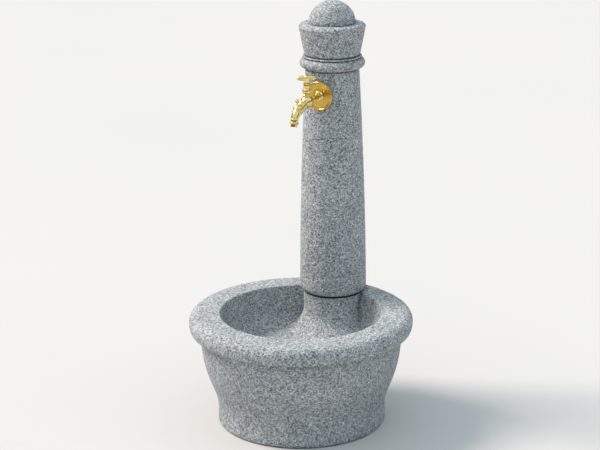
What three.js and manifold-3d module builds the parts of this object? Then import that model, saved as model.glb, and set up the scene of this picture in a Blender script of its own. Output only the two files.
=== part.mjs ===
// Stone garden fountain: a round basin with a column standing on a stub at the back of its bowl,
// a turned head on the column, and a brass garden tap that pours into the bowl.
// Millimetres, +Z up. The origin is the centre of the basin's underside, on the ground.
// -Y is the front, where the tap pours, and the column stands towards +Y.

import * as THREE from "three";
import { mergeVertices } from "three/addons/utils/BufferGeometryUtils.js";
import Module from "manifold-3d";

const wasm = await Module();
wasm.setup();

// ---------------------------------------------------------------- driving dimensions

const clearance = 0.3; // between stones, and between fittings that touch

// basin
const basinHeight = 277.5;
const mouthRadius = 197; // opening of the cavity
const rimWidth = 78; // from that opening to the lip's outside
const lipOverhang = 27.5; // lip beyond the bowl
const footInset = 40.5; // foot inside the bowl's outside
const footHeight = 36; // straight part of the foot
const footEdge = 5; // rounding where the foot meets the ground
const bowlFootSweep = 0.3; // how long the bowl's side stays upright above the foot,
const bowlRimSweep = 0.61; // and below the lip, as shares of the height between them
const lipHeight = 42.5;
const lipUnderEdge = 6; // how far the lip's lower edge draws in
const lipUnderRise = 20; // height over which it does
const lipTopRounding = 24; // how far in from the rim the top begins to round over
const mouthEdge = 5; // rounding of the opening
const cavityDepth = 100;
const cavityDraft = 8; // how much the cavity narrows from mouth to floor fillet
const cavityFillet = 45;

// stub that carries the column, one piece with the basin
const stubRadius = 74.5;
const stubFlare = 60; // concave sweep from stub to cavity floor
const stubDrainGap = 4; // the sweep stays this far outside the drain's flange

// column
const columnSetback = 10.5; // back of the shaft inside the lip's outside
const bedThickness = 3;
const bedInset = 4; // setting bed inside the column's underside
const shaftHeight = 570;
const shaftOverhang = 9; // shaft beyond the stub, all round
const shaftTopRadius = 66.7;
const shaftStraight = 20; // length above the foot before the shaft begins to taper
const shaftTaperPower = 1.65;
const shaftFootInset = 12; // rounding of the shaft's bottom edge, inwards
const shaftFootRise = 15; // and upwards

// head
const collarHeight = 26; // half-round ring round the top of the shaft
const collarOverhang = 1; // its straight edge beyond the shaft's top
const neckOverhang = 6.3; // neck ring beyond the shaft's top
const neckHeight = 5.5;
const quirkInset = 3; // narrow groove under the capital
const quirkHeight = 2;
const capitalOverhang = 2.3; // capital's foot beyond the shaft's top
const capitalFlare = 13.5;
const capitalHeight = 78;
const capitalRounding = 11;
const domeLedge = 25; // capital's widest radius beyond the dome
const domeHeight = 55;

// drain in the middle of the cavity floor
const drainBoreRadius = 20;
const drainFlangeWidth = 9;
const drainFlangeThickness = 3;
const drainTailLength = 32; // threaded tail of the flange inside the bore
const drainWall = 2.5;
const strainerThickness = 2.5;
const strainerHoleRadius = 1.7;
const strainerHolePitch = 5.6;
const strainerRows = 5; // the middle row has as many holes as there are rows

// tap
const tapDrop = 57.1; // axis of the inlet below the top of the shaft
const rosetteRadius = 35.8;
const rosetteThickness = 2.8;
const rosetteBead = 1.6; // rolled edge, standing proud of the face
const rosetteDish = 0.8; // how far the face falls from the boss to the rolled edge
const rosetteStandoff = 1.16; // rosette's back clear of the shaft, at the rosette's lower edge
const sealInset = 7.8; // seal inside the rosette's edge
const wallBossOverhang = 5.8; // boss beyond the inlet pipe
const wallBossLength = 4;
const inletRadius = 7;
const inletRingOverhang = 3.8;
const inletRingLength = 5;
const spindleReach = 65.5; // spindle axis in front of the rosette's face
const bodyRadius = 15;
const socketWall = 2.5; // necks of the body beyond the inlet pipe
const socketLength = 20; // from the spindle axis to the end of either neck
const spoutTilt = 12; // degrees that the spout's root slopes down
const spoutRootRadius = 11.8;
const spoutRadius = 9; // at its lower end
const spoutRingOverhang = 1;
const spoutRingLength = 5;
const spoutStraight = 12; // before the bend
const spoutBendRadius = 38;
const spoutBendAngle = 63; // degrees
const nozzleBoreRadius = 6.2;
const nozzleBoreDepth = 8;
const nozzleWall = 2.2;
const nozzleLength = 12;
const nozzleCollarOverhang = 2.8;
const nozzleCollarLength = 5;
const finialRadius = 5.2;
const finialKnobHeight = 7.2;
const finialHeight = 18.5;
const finialAngle = 9; // degrees round the bend, from its start
const spindleRadius = 3.6;
const spindleClearance = 0.4; // all round the spindle in the gland and the bonnet
const spindleDepth = 10; // how far the spindle goes down into the bonnet
const bonnetWall = 5; // round the spindle's bore, at the bonnet's foot
const bonnetSwell = 1.8; // bulge beyond the foot
const bonnetHeight = 18;
const glandWall = 4.4; // to the corners of the hexagon
const glandHeight = 5.5;
const handleGap = 1; // between gland and handle
const handleHubWall = 4.4; // round the spindle
const handleHubHeight = 16.5; // up to the axis of the crossbar
const handleLength = 48;
const handleBarRadius = 6.3;
const handleBarFullness = 3.2; // the higher, the blunter the crossbar's ends
const handleAngle = 37; // degrees from crosswise, as the tap stands closed
const handleScrewRadius = 3.4;
const handleScrewHeight = 1.2;

// facets of a full turn
const stoneFacets = 56;
const shaftFacets = 40;
const drainFacets = 32;
const rosetteFacets = 40;
const fittingFacets = 20;
const knobFacets = 16;

// ---------------------------------------------------------------- widths, levels and places

const rimRadius = mouthRadius + rimWidth;
const bowlRadius = rimRadius - lipOverhang;
const footRadius = bowlRadius - footInset;
const shaftFootRadius = stubRadius + shaftOverhang;
const columnOffset = rimRadius - columnSetback - shaftFootRadius;
const collarRadius = shaftTopRadius + collarOverhang + collarHeight / 2;
const neckRadius = shaftTopRadius + neckOverhang;
const capitalFootRadius = shaftTopRadius + capitalOverhang;
const capitalTopRadius = capitalFootRadius + capitalFlare;
const domeRadius = capitalTopRadius - domeLedge;

const rimUnderside = basinHeight - lipHeight;
const cavityFloor = basinHeight - cavityDepth;
const bedBase = basinHeight + clearance;
const shaftBase = bedBase + bedThickness + clearance;
const shaftTop = shaftBase + shaftHeight;
const collarBase = shaftTop + clearance;
const neckBase = collarBase + collarHeight + clearance;
const capitalBase = neckBase + neckHeight + clearance;
const domeBase = capitalBase + capitalHeight + clearance;
const tapHeight = shaftTop - tapDrop;

function shaftRadiusAt(z) {
  const taperStart = shaftBase + shaftStraight;
  const t = Math.max(0, (z - taperStart) / (shaftTop - taperStart));
  return shaftFootRadius - (shaftFootRadius - shaftTopRadius) * t ** shaftTaperPower;
}

// ---------------------------------------------------------------- materials

const stone = { color: 0x9aa0a6, roughness: 0.85, metalness: 0 };
const mortar = { color: 0x4c5156, roughness: 0.95, metalness: 0 };
const brass = { color: 0xc9a24a, roughness: 0.22, metalness: 1 };
const satinBrass = { color: 0xb48a35, roughness: 0.38, metalness: 1 };

// ---------------------------------------------------------------- outlines and solids

const point = (r, z) => new THREE.Vector2(r, z);

// Points on a quarter of an ellipse about (r, z), from one angle to another in degrees.
function arc(r, z, radiusR, radiusZ, from, to, steps) {
  const points = [];
  for (let i = 0; i <= steps; i += 1) {
    const angle = THREE.MathUtils.degToRad(from + ((to - from) * i) / steps);
    points.push(point(r + radiusR * Math.cos(angle), z + radiusZ * Math.sin(angle)));
  }
  return points;
}

// A solid of revolution about Z. The outline is (radius, height), from the bottom outwards and up.
function turned(outline, facets) {
  return new THREE.LatheGeometry(outline, facets).rotateX(Math.PI / 2);
}

function solidOf(geometry) {
  const bare = geometry.clone();
  bare.deleteAttribute("normal");
  bare.deleteAttribute("uv");
  const merged = mergeVertices(bare, 1e-4);
  const vertProperties = new Float32Array(merged.attributes.position.array);
  const triVerts = new Uint32Array(merged.index.array);
  return new wasm.Manifold(new wasm.Mesh({ numProp: 3, vertProperties, triVerts }));
}

function geometryOf(solid) {
  const mesh = solid.getMesh();
  const geometry = new THREE.BufferGeometry();
  geometry.setAttribute("position", new THREE.BufferAttribute(mesh.vertProperties, 3));
  geometry.setIndex(new THREE.BufferAttribute(mesh.triVerts, 1));
  geometry.computeVertexNormals();
  return geometry;
}

function join(first, ...others) {
  return geometryOf(others.reduce((sum, next) => sum.add(solidOf(next)), solidOf(first)));
}

function cut(from, ...tools) {
  return geometryOf(tools.reduce((rest, next) => rest.subtract(solidOf(next)), solidOf(from)));
}

function common(a, b) {
  return geometryOf(solidOf(a).intersect(solidOf(b)));
}

function piece(name, geometry, finish) {
  const mesh = new THREE.Mesh(geometry, new THREE.MeshStandardMaterial(finish));
  mesh.name = name;
  return mesh;
}

const group = new THREE.Group();

// ---------------------------------------------------------------- basin

const drainFlangeRadius = drainBoreRadius + drainFlangeWidth;

function basinOutline() {
  const sideHeight = rimUnderside - footHeight;
  const bowlSweep = new THREE.CubicBezierCurve(
    point(footRadius, footHeight),
    point(footRadius, footHeight + bowlFootSweep * sideHeight),
    point(bowlRadius, rimUnderside - bowlRimSweep * sideHeight),
    point(bowlRadius, rimUnderside),
  );
  const lipWaist = rimUnderside + lipUnderRise;
  const wallFoot = mouthRadius - cavityDraft;
  return [
    point(drainBoreRadius, 0),
    ...arc(footRadius - footEdge, footEdge, footEdge, footEdge, -90, 0, 2),
    ...bowlSweep.getPoints(9),
    ...arc(rimRadius - lipUnderEdge, lipWaist, lipUnderEdge, lipUnderRise, -90, 0, 3),
    ...arc(rimRadius - lipTopRounding, lipWaist, lipTopRounding, basinHeight - lipWaist, 0, 90, 5).slice(1),
    ...arc(mouthRadius + mouthEdge, basinHeight - mouthEdge, mouthEdge, mouthEdge, 90, 180, 2),
    ...arc(wallFoot - cavityFillet, cavityFloor + cavityFillet, cavityFillet, cavityFillet, 0, -90, 6),
    point(drainFlangeRadius + clearance, cavityFloor),
    point(drainFlangeRadius + clearance, cavityFloor - drainFlangeThickness),
    point(drainBoreRadius, cavityFloor - drainFlangeThickness),
    point(drainBoreRadius, 0),
  ];
}

function stubOutline() {
  const sink = 1; // the flare dips under the floor, so that it meets it in a clean edge
  const root = cavityFloor - 20; // the blank's underside, buried in the bowl
  return [
    point(0, root),
    point(stubRadius + stubFlare, root),
    ...arc(stubRadius + stubFlare, cavityFloor + stubFlare - sink, stubFlare, stubFlare, 270, 180, 6),
    point(stubRadius, basinHeight),
    point(0, basinHeight),
  ];
}

const stub = turned(stubOutline(), stoneFacets).translate(0, columnOffset, 0);
const drainRoom = drainFlangeRadius + stubDrainGap;
const midWall = (mouthRadius + bowlRadius) / 2;
const stubLimit = turned([
  point(drainRoom, 0),
  point(midWall, 0),
  point(midWall, basinHeight),
  point(drainRoom, basinHeight),
  point(drainRoom, 0),
], stoneFacets);
group.add(piece("basin", join(turned(basinOutline(), stoneFacets), common(stub, stubLimit)), stone));

// ---------------------------------------------------------------- drain

const drainTailRadius = drainBoreRadius - clearance;
const drainHoleRadius = drainTailRadius - drainWall;
const strainerSeat = cavityFloor - strainerThickness;
const strainerRadius = drainHoleRadius + drainWall / 2;

group.add(piece("drain_flange", turned([
  point(drainHoleRadius, cavityFloor - drainTailLength),
  point(drainTailRadius, cavityFloor - drainTailLength),
  point(drainTailRadius, cavityFloor - drainFlangeThickness + clearance),
  point(drainFlangeRadius, cavityFloor - drainFlangeThickness + clearance),
  point(drainFlangeRadius, cavityFloor),
  point(drainFlangeRadius - 2, cavityFloor + 1),
  point(strainerRadius + clearance, cavityFloor + 1),
  point(strainerRadius + clearance, strainerSeat - clearance),
  point(drainHoleRadius, strainerSeat - clearance),
  point(drainHoleRadius, cavityFloor - drainTailLength),
], drainFacets), satinBrass));

function strainer() {
  const plate = new THREE.Shape().absarc(0, 0, strainerRadius, 0, 2 * Math.PI);
  const rowStep = strainerHolePitch * Math.sin(Math.PI / 3);
  const outerRow = (strainerRows - 1) / 2;
  for (let row = -outerRow; row <= outerRow; row += 1) {
    const holes = strainerRows - Math.abs(row);
    for (let i = 0; i < holes; i += 1) {
      const x = (i - (holes - 1) / 2) * strainerHolePitch;
      plate.holes.push(new THREE.Path().absarc(x, row * rowStep, strainerHoleRadius, 0, 2 * Math.PI, true));
    }
  }
  return new THREE.ExtrudeGeometry(plate, {
    depth: strainerThickness, bevelEnabled: false, curveSegments: 5,
  }).translate(0, 0, strainerSeat);
}
group.add(piece("drain_strainer", strainer(), satinBrass));

// ---------------------------------------------------------------- column

function shaftOutline() {
  const shoulder = shaftBase + shaftFootRise;
  const steps = 9;
  const outline = [
    point(0, shaftBase),
    ...arc(shaftFootRadius - shaftFootInset, shoulder, shaftFootInset, shaftFootRise, -90, 0, 3),
  ];
  for (let i = 0; i <= steps; i += 1) {
    const z = shoulder + 5 + ((shaftTop - shoulder - 5) * i) / steps;
    outline.push(point(shaftRadiusAt(z), z));
  }
  outline.push(point(0, shaftTop));
  return outline;
}

const bedRadius = shaftFootRadius - shaftFootInset - bedInset;
const bed = turned([
  point(0, bedBase),
  point(bedRadius, bedBase),
  point(bedRadius, bedBase + bedThickness),
  point(0, bedBase + bedThickness),
], shaftFacets);

// The stones of the column share one axis.
const column = new THREE.Group();
column.position.y = columnOffset;
column.add(piece("setting_bed", bed, mortar));
column.add(piece("column_shaft", turned(shaftOutline(), shaftFacets), stone));

// ---------------------------------------------------------------- head

const collarCore = collarRadius - collarHeight / 2;
column.add(piece("collar_ring", turned([
  point(0, collarBase),
  ...arc(collarCore, collarBase + collarHeight / 2, collarHeight / 2, collarHeight / 2, -90, 90, 7),
  point(0, collarBase + collarHeight),
], shaftFacets), stone));

const neckEdge = neckHeight / 2;
column.add(piece("neck_ring", turned([
  point(0, neckBase),
  ...arc(neckRadius - neckEdge, neckBase + neckEdge, neckEdge, neckEdge, -90, 90, 4),
  point(0, neckBase + neckHeight),
], shaftFacets), stone));

const capitalTop = capitalBase + capitalHeight;
column.add(piece("capital", turned([
  point(0, capitalBase),
  point(capitalFootRadius - quirkInset, capitalBase),
  point(capitalFootRadius - quirkInset, capitalBase + quirkHeight),
  point(capitalFootRadius, capitalBase + quirkHeight),
  ...arc(capitalTopRadius - capitalRounding, capitalTop - capitalRounding, capitalRounding,
    capitalRounding, 0, 90, 5),
  point(0, capitalTop),
], shaftFacets), stone));

column.add(piece("dome_cap", turned([
  point(0, domeBase),
  ...arc(0, domeBase, domeRadius, domeHeight, 0, 90, 8),
], shaftFacets), stone));

// ---------------------------------------------------------------- tap

// Inside the tap's group, the inlet runs out along its own +Z, which points to the front,
// from the shaft's surface at 0, and its own +Y is up.
const shaftFace = shaftRadiusAt(tapHeight);
const tap = new THREE.Group();
tap.position.set(0, columnOffset - shaftFace, tapHeight);
tap.rotation.x = Math.PI / 2;

// Solids here are turned about the group's +Z, the inlet's axis, or about its +Y, the spindle's.
const upright = (geometry) => geometry.rotateX(-Math.PI / 2);

// The shaft widens downwards, so the rosette comes nearest to it at the rosette's lower edge.
// A seal packs the hollow between the round shaft and the flat back of the rosette.
const shaftSwell = shaftRadiusAt(tapHeight - rosetteRadius) - shaftFace;
const rosetteBack = shaftSwell + rosetteStandoff;
const sealRadius = rosetteRadius - sealInset;
const sealFace = rosetteBack - clearance;
const sealBlank = turned([
  point(0, -sealRadius),
  point(sealRadius, -sealRadius),
  point(sealRadius, sealFace),
  point(0, sealFace),
], rosetteFacets);
const sealReach = sealRadius + 10; // stretch of shaft, up and down, that the seal is cut to
const shaftStretch = turned([
  point(0, tapHeight - sealReach),
  point(shaftRadiusAt(tapHeight - sealReach) + clearance, tapHeight - sealReach),
  point(shaftFace + clearance, tapHeight),
  point(shaftRadiusAt(tapHeight + sealReach) + clearance, tapHeight + sealReach),
  point(0, tapHeight + sealReach),
], 2 * shaftFacets).translate(0, 0, -tapHeight).rotateX(-Math.PI / 2).translate(0, 0, -shaftFace);
tap.add(piece("tap_rosette_seal", cut(sealBlank, shaftStretch), mortar));

const wallBossRadius = inletRadius + wallBossOverhang;
const rosetteFace = rosetteBack + rosetteThickness;
const beadCentre = rosetteBack + (rosetteThickness + rosetteBead) / 2;
const beadRadius = (rosetteThickness + rosetteBead) / 2;
tap.add(piece("tap_rosette", turned([
  point(0, rosetteBack),
  ...arc(rosetteRadius - beadRadius, beadCentre, beadRadius, beadRadius, -90, 140, 7),
  point(rosetteRadius - 2 * beadRadius - 1, rosetteFace - rosetteDish),
  point(wallBossRadius + 4, rosetteFace - rosetteDish / 2),
  point(wallBossRadius, rosetteFace),
  point(0, rosetteFace),
], rosetteFacets), satinBrass));

const bossBase = rosetteFace + clearance;
const bossEnd = bossBase + wallBossLength;
tap.add(piece("tap_wall_boss", turned([
  point(0, bossBase),
  point(wallBossRadius, bossBase),
  ...arc(wallBossRadius - 2.5, bossBase + 1, 2.5, wallBossLength - 1, 0, 90, 3),
  point(0, bossEnd),
], fittingFacets), brass));

const spindleZ = rosetteFace + spindleReach;
const socketStart = spindleZ - socketLength;
const inletRingEnd = socketStart - clearance;
const inletRingStart = inletRingEnd - inletRingLength;
const inletStart = bossEnd + clearance;
const inletEnd = inletRingStart - clearance;
tap.add(piece("tap_inlet_pipe", turned([
  point(0, inletStart),
  point(inletRadius + 1, inletStart),
  point(inletRadius, inletStart + 3),
  point(inletRadius, inletEnd),
  point(0, inletEnd),
], fittingFacets), brass));

function ring(radius, start, length) {
  const edge = length / 2;
  return turned([
    point(0, start),
    ...arc(radius - edge, start + edge, edge, edge, -90, 90, 6),
    point(0, start + length),
  ], fittingFacets);
}
const inletRing = ring(inletRadius + inletRingOverhang, inletRingStart, inletRingLength);
tap.add(piece("tap_inlet_ring", inletRing, brass));

// The body is a globe about the spindle's axis, with a neck to either side and one on top.
const bodyTop = bodyRadius + 1;
const spindleBoreRadius = spindleRadius + spindleClearance;
const bonnetFootRadius = spindleBoreRadius + bonnetWall;
const globe = upright(turned([
  point(0, -bodyRadius - 1.5),
  point(3.5, -bodyRadius - 1),
  ...arc(0, 0, bodyRadius, bodyRadius, -72, 50, 8),
  point(bonnetFootRadius, bodyTop - 2),
  point(bonnetFootRadius, bodyTop),
  point(0, bodyTop),
], fittingFacets)).translate(0, 0, spindleZ);
const neck = turned([
  point(0, 0),
  point(inletRadius + socketWall, 0),
  point(inletRadius + socketWall, socketLength),
  point(0, socketLength),
], fittingFacets);
const tilt = THREE.MathUtils.degToRad(spoutTilt);
const inletNeck = neck.clone().rotateX(Math.PI).translate(0, 0, spindleZ);
const spoutNeck = neck.clone().rotateX(tilt).translate(0, 0, spindleZ);
tap.add(piece("tap_body", join(globe, inletNeck, spoutNeck), brass));

// ---------------------------------------------------------------- spout

// The spout's group starts at the middle of the globe, with its +Z along the sloping neck.
const spout = new THREE.Group();
spout.position.z = spindleZ;
spout.rotation.x = tilt;
tap.add(spout);

const spoutRingStart = socketLength + clearance;
const spoutRing = ring(spoutRootRadius + spoutRingOverhang, spoutRingStart, spoutRingLength);
spout.add(piece("tap_spout_ring", spoutRing, brass));

const bendStart = spoutRingStart + spoutRingLength + clearance + spoutStraight;
const bendAngle = THREE.MathUtils.degToRad(spoutBendAngle);
const spoutLength = spoutStraight + spoutBendRadius * bendAngle;

// Carries a straight solid that stands on z = 0 over to the spout's place, and bends it down there.
function bent(geometry) {
  const places = geometry.attributes.position;
  for (let i = 0; i < places.count; i += 1) {
    const onward = places.getZ(i) - spoutStraight;
    const angle = Math.max(0, onward) / spoutBendRadius;
    const out = spoutBendRadius + places.getY(i);
    places.setY(i, out * Math.cos(angle) - spoutBendRadius);
    places.setZ(i, bendStart + Math.min(0, onward) + out * Math.sin(angle));
  }
  return geometry;
}

// The spout narrows from its root to its lower end.
function spoutOutline(extra) {
  const steps = 12;
  const outline = [point(0, 0)];
  for (let i = 0; i <= steps; i += 1) {
    const t = i / steps;
    outline.push(point(spoutRootRadius + (spoutRadius - spoutRootRadius) * t + extra, t * spoutLength));
  }
  outline.push(point(0, spoutLength));
  return outline;
}
spout.add(piece("tap_spout", bent(turned(spoutOutline(0), fittingFacets)), brass));

// Turns a solid that stands at the origin round the bend by an angle, out to a radius from its centre.
function roundTheBend(geometry, angle, radius) {
  return geometry.rotateX(angle).translate(
    0,
    radius * Math.cos(angle) - spoutBendRadius,
    bendStart + radius * Math.sin(angle),
  );
}

const nozzleRadius = nozzleBoreRadius + nozzleWall;
const nozzleCollarRadius = nozzleRadius + nozzleCollarOverhang;
const collarEdge = nozzleCollarLength / 2;
const nozzleMouth = clearance + nozzleLength;
const boreEnd = nozzleMouth - nozzleBoreDepth;
const nozzle = turned([
  point(0, clearance),
  ...arc(nozzleCollarRadius - collarEdge, clearance + collarEdge, collarEdge, collarEdge, -90, 90, 6),
  point(nozzleRadius, clearance + nozzleCollarLength + 0.5),
  point(nozzleRadius, nozzleMouth),
  point(nozzleBoreRadius, nozzleMouth),
  point(nozzleBoreRadius, boreEnd),
  point(0, boreEnd),
], fittingFacets);
spout.add(piece("tap_nozzle", roundTheBend(nozzle, bendAngle, spoutBendRadius), brass));

// A small turned knob stands on the outside of the bend.
const knobCentre = finialHeight - finialKnobHeight / 2;
const finial = upright(turned([
  point(0, 0),
  point(finialRadius * 0.8, 0),
  point(finialRadius * 0.45, finialHeight * 0.3),
  ...arc(0, knobCentre, finialRadius, finialKnobHeight / 2, -60, 90, 6),
], knobFacets));
roundTheBend(finial, THREE.MathUtils.degToRad(finialAngle), spoutBendRadius + spoutRadius);
const spoutSpace = bent(turned(spoutOutline(clearance), fittingFacets));
spout.add(piece("tap_spout_finial", cut(finial, spoutSpace), brass));

// ---------------------------------------------------------------- headwork and handle

// Turned about the spindle's own axis, with heights above the inlet's axis.
const headwork = new THREE.Group();
headwork.position.z = spindleZ;
headwork.rotation.x = -Math.PI / 2;
tap.add(headwork);

const bonnetBase = bodyTop + clearance;
const bonnetTop = bonnetBase + bonnetHeight;
const glandBase = bonnetTop + clearance;
const glandTop = glandBase + glandHeight;
const spindleFoot = bonnetTop - spindleDepth;
const boreFloor = spindleFoot - 1;
headwork.add(piece("tap_bonnet", turned([
  point(0, bonnetBase),
  point(bonnetFootRadius, bonnetBase),
  point(bonnetFootRadius - 1.5, bonnetBase + 3),
  ...arc(bonnetFootRadius - 1.5, bonnetBase + bonnetHeight / 2 + 1, bonnetSwell + 1.5,
    bonnetHeight / 2 - 3, -80, 80, 7),
  point(bonnetFootRadius - 2, bonnetTop),
  point(spindleBoreRadius, bonnetTop),
  point(spindleBoreRadius, boreFloor),
  point(0, boreFloor),
], fittingFacets), brass));

const glandRadius = spindleBoreRadius + glandWall;
const hexagon = new THREE.Shape(Array.from({ length: 6 }, (_, corner) => (
  point(glandRadius * Math.cos((corner * Math.PI) / 3), glandRadius * Math.sin((corner * Math.PI) / 3))
)));
hexagon.holes.push(new THREE.Path().absarc(0, 0, spindleBoreRadius, 0, 2 * Math.PI, true));
headwork.add(piece("tap_gland_nut", new THREE.ExtrudeGeometry(hexagon, {
  depth: glandHeight, bevelEnabled: false, curveSegments: fittingFacets,
}).translate(0, 0, glandBase), brass));

const handleHubRadius = spindleRadius + handleHubWall;
const handleBase = glandTop + handleGap;
const handleAxis = handleBase + handleHubHeight;
const spindleTop = handleBase - clearance;
headwork.add(piece("tap_spindle", turned([
  point(0, spindleFoot),
  point(spindleRadius, spindleFoot),
  point(spindleRadius, spindleTop),
  point(0, spindleTop),
], fittingFacets), brass));

const handleTop = handleAxis + handleBarRadius + 0.4;
const hub = turned([
  point(0, handleBase),
  point(handleHubRadius - 0.8, handleBase),
  point(handleHubRadius, handleBase + 1),
  point(handleHubRadius - 1.2, handleBase + handleHubHeight * 0.45),
  point(handleHubRadius, handleAxis - 3),
  point(handleHubRadius, handleAxis + 2),
  point(handleHubRadius - 3, handleTop),
  point(0, handleTop),
], fittingFacets);

// The crossbar swells towards the middle and has blunt round ends.
function crossbarOutline() {
  const steps = 14;
  const outline = [];
  for (let i = 0; i <= steps; i += 1) {
    const along = -Math.cos((Math.PI * i) / steps); // -1 at one end, 1 at the other
    const radius = handleBarRadius * Math.sqrt(Math.max(0, 1 - Math.abs(along) ** handleBarFullness));
    outline.push(point(i === 0 || i === steps ? 0 : radius, (along * handleLength) / 2));
  }
  return outline;
}
const crossbar = turned(crossbarOutline(), knobFacets).rotateY(Math.PI / 2).translate(0, 0, handleAxis);
const handle = new THREE.Group();
handle.rotation.z = THREE.MathUtils.degToRad(handleAngle);
headwork.add(handle);
handle.add(piece("tap_handle", join(hub, crossbar), brass));

const screwBase = handleTop + clearance;
handle.add(piece("tap_handle_screw", turned([
  point(0, screwBase),
  point(handleScrewRadius, screwBase),
  ...arc(0, screwBase, handleScrewRadius, handleScrewHeight, 12, 90, 4),
], knobFacets), brass));

group.add(column, tap);

export default group;
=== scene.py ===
"""Looks of the stone garden fountain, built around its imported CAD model.

Finer meshes, of stone with a hammered surface and of polished brass, stand for the CAD solids.
Only the seal behind the rosette keeps its CAD mesh. Metres, +Z up. -Y is the front, to which
the tap points, and the column stands towards +Y.
"""

import math

import bpy
import numpy as np
from mathutils import Matrix, Vector, noise


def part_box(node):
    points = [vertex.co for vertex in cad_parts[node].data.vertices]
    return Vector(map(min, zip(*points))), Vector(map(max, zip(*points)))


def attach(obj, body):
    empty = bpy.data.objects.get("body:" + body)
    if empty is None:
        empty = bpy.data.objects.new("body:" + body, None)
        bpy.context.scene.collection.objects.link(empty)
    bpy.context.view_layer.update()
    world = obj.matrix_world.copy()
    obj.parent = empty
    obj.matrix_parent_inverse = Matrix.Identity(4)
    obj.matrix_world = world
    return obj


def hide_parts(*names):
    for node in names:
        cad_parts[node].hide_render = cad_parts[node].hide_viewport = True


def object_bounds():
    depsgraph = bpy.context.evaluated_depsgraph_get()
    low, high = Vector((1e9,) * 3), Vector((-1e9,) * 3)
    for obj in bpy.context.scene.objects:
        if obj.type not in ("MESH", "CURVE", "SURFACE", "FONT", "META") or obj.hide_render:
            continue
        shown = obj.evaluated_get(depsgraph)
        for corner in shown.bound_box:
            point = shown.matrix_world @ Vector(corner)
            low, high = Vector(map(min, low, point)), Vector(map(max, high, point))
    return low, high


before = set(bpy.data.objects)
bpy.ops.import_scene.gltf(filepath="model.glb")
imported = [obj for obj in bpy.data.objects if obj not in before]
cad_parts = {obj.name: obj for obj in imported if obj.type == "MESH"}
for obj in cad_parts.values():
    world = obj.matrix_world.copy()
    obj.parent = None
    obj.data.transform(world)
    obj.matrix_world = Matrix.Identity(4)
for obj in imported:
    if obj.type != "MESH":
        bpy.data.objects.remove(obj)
cad_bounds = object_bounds()

# ---------------------------------------------------------------- shapes that the boxes don't give

CLEARANCE = 0.0003  # between neighbouring pieces
ON_AXIS = 1e-7  # a smaller radius is a point on the axis

# basin
MOUTH_RADIUS = 0.197
BOWL_RADIUS = 0.2475
FOOT_RADIUS = 0.207
FOOT_HEIGHT = 0.036
FOOT_EDGE = 0.005
# handles of the side's curve above the foot and below the lip, as shares of the height between
BOWL_FOOT_SWEEP = 0.3
BOWL_RIM_SWEEP = 0.61
LIP_HEIGHT = 0.0425
LIP_UNDER_EDGE = 0.006
LIP_UNDER_RISE = 0.020
LIP_TOP_ROUNDING = 0.024
MOUTH_EDGE = 0.005
CAVITY_DEPTH = 0.1
CAVITY_DRAFT = 0.008
CAVITY_FILLET = 0.045
STUB_RADIUS = 0.0745
STUB_FLARE = 0.060
STUB_ROOT = 0.020  # how deep the stub is let into the floor
STUB_SINK = 0.001  # how deep its sweep runs out under the floor
STUB_SEGMENTS = 150
STUB_LIMIT_RADIUS = 0.033  # the stub keeps this far from the drain's axis
STUB_LIMIT_SEGMENTS = 160

# setting bed
BED_EDGE = 0.0006
BED_RELIEF = 0.0006
BED_SPACING = 0.003
BED_SEGMENTS = 150

# drain
DRAIN_BORE_RADIUS = 0.020
DRAIN_SEAT_DEPTH = 0.003
DRAIN_TAIL_WALL = 0.0025
DRAIN_RIM_HEIGHT = 0.001  # above the floor
DRAIN_RIM_EDGE_HEIGHT = 0.0002
DRAIN_RIM_SLOPE = 0.0025
STRAINER_THICKNESS = 0.0025
STRAINER_LEDGE = 0.00125
STRAINER_HOLE_RADIUS = 0.0017
STRAINER_DRILL_DEPTH = 0.004
STRAINER_PITCH = 0.0056
STRAINER_OUTER_ROW = 2  # rows of holes to either side of the middle row

# column and head
SHAFT_TOP_RADIUS = 0.0667
SHAFT_FOOT_INSET = 0.012
SHAFT_FOOT_RISE = 0.015
SHAFT_STRAIGHT = 0.020
SHAFT_TAPER_POWER = 1.65
SHAFT_TOP_EDGE = 0.004
COLLAR_OVERHANG = 0.001
CAPITAL_FOOT_RADIUS = 0.069
QUIRK_INSET = 0.003
QUIRK_HEIGHT = 0.002
CAPITAL_ROUNDING = 0.011
CAPITAL_FLARE_INSET = 0.0009
CAPITAL_FOOT_EDGE = 0.0018

# tap
ROSETTE_EDGE = 0.0022
ROSETTE_THICKNESS = 0.0028
ROSETTE_DISH = (0.0065, 0.0008)  # distance from the edge, and depth
ROSETTE_STEP = (0.0175, 0.0004)  # radius and depth
ROSETTE_PAD_RADIUS = 0.0142
BOSS_FLANGE_HEIGHT = 0.0012
BOSS_STEP = (0.0009, 0.0016)  # inset and height
BOSS_TOP_INSET = 0.0024
INLET_FLARE = (0.001, 0.003)  # inset and height
INLET_FLARE_END = (0.0001, 0.0045)  # how much wider than the pipe, and height
INLET_RADIUS = 0.007
SOCKET_RADIUS = 0.0095
SOCKET_LENGTH = 0.020
BODY_RADIUS = 0.015
BODY_BUTTON_RADIUS = 0.0035
BODY_BUTTON_EDGE = 0.001  # how far the small button underneath stands below the globe
BODY_BUTTON_TIP = 0.0015
BODY_SEAT_HEIGHT = 0.002
BONNET_FOOT_RADIUS = 0.009
BONNET_FOOT = [  # inset from the foot's radius, height, and fillet
    (0, 0, 0.0003), (0, 0.0016, 0.0003), (0.0016, 0.003, 0.0005), (0.0012, 0.0042, 0),
]
BONNET_TOP_EDGE = (0.0012, 0.002)  # inset and depth
BONNET_TOP_INSET = 0.001
BONNET_CORE_INSET = 0.0015
BONNET_SWELL_RISE = 0.001  # above the bonnet's middle
BONNET_SWELL_ROOM = 0.003  # left above and below the swelling
SPOUT_TILT = math.radians(12)
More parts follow.
